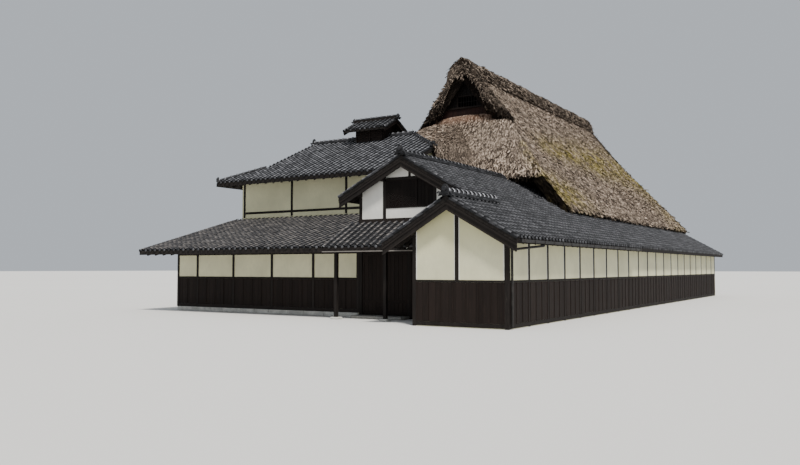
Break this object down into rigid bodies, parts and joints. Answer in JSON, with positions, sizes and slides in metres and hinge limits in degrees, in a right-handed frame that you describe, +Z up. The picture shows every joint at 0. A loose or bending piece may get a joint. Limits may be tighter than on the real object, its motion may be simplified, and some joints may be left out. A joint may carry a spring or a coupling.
{
  "type": "minka farmhouse",
  "caption": "Thatched farmhouse with tile-roofed wings, an upper gable, a small front bay, a smoke vent and an entrance with sliding board doors.",
  "frame": {"origin": "middle of the bounding box, at ground level", "axes": "+Z up, +X to the right along the gabled fronts, +Y from the fronts to the back, along the ridge of the thatch"},
  "size_m": [17.03, 32.0804, 11.4706],
  "materials": {
    "tile": "blue-grey smoked clay tiles, satin",
    "thatch": "weathered reed thatch, mossy",
    "plaster": "cream clay and lime plaster",
    "white_plaster": "white lime plaster",
    "timber": "dark weathered posts and beams",
    "board": "dark stained boards",
    "stone": "grey granite",
    "gutter_metal": "dark painted sheet",
    "floor": "worn floor boards"
  },
  "bodies": {
    "house": {"back_gable_boards": "board", "back_wall": "plaster", "bay_bargeboards": "timber", "bay_frame": "timber", "bay_front_wall": "plaster", "bay_left_roof": "tile", "bay_left_wall": "plaster", "bay_ridge": "tile", "bay_right_roof": "tile", "door_jamb_left": "timber", "door_jamb_right": "timber", "door_lintel": "timber", "door_sill": "timber", "door_step": "stone", "entrance_over_wall": "white_plaster", "entrance_side_wall": "board", "front_gable_boards": "board", "front_lean_to_roof": "tile", "front_wall": "plaster", "ground_floor": "floor", "gutter": "gutter_metal", "left_lean_to_roof": "tile", "left_wall": "plaster", "left_wing_back_roof": "tile", "left_wing_back_wall": "plaster", "left_wing_end_roof": "tile", "left_wing_front_roof": "tile", "left_wing_front_wall": "plaster", "left_wing_gable": "board", "left_wing_inner_hip": "tile", "left_wing_inner_wall": "plaster", "left_wing_ridge": "tile", "main_front_wall": "board", "main_left_frame": "timber", "main_right_frame": "timber", "pent_frame": "timber", "pent_roof": "tile", "right_lean_to_roof": "tile", "right_slope_roof": "tile", "right_wall": "plaster", "right_wall_frame": "timber", "smoke_vent_body": "board", "smoke_vent_roof": "tile", "thatch_back_slope": "thatch", "thatch_front_slope": "thatch", "thatch_left_slope": "thatch", "thatch_ridge_cover": "thatch", "thatch_right_slope": "thatch", "upper_bargeboards": "timber", "upper_floor": "floor", "upper_frame": "timber", "upper_front_wall": "white_plaster", "upper_left_roof": "tile", "upper_left_wall": "white_plaster", "upper_ridge": "tile", "upper_shutters": "board"},
    "left_leaf": {"entrance_door_left": "board"},
    "right_leaf": {"entrance_door_right": "board"}
  },
  "joints": [
    {"name": "left_leaf_slide", "type": "slide", "parent": "house", "child": "left_leaf", "axis": [1, 0, 0], "range_m": [0, 0.885]},
    {"name": "right_leaf_slide", "type": "slide", "parent": "house", "child": "right_leaf", "axis": [-1, 0, 0], "range_m": [0, 0.885]}
  ]
}
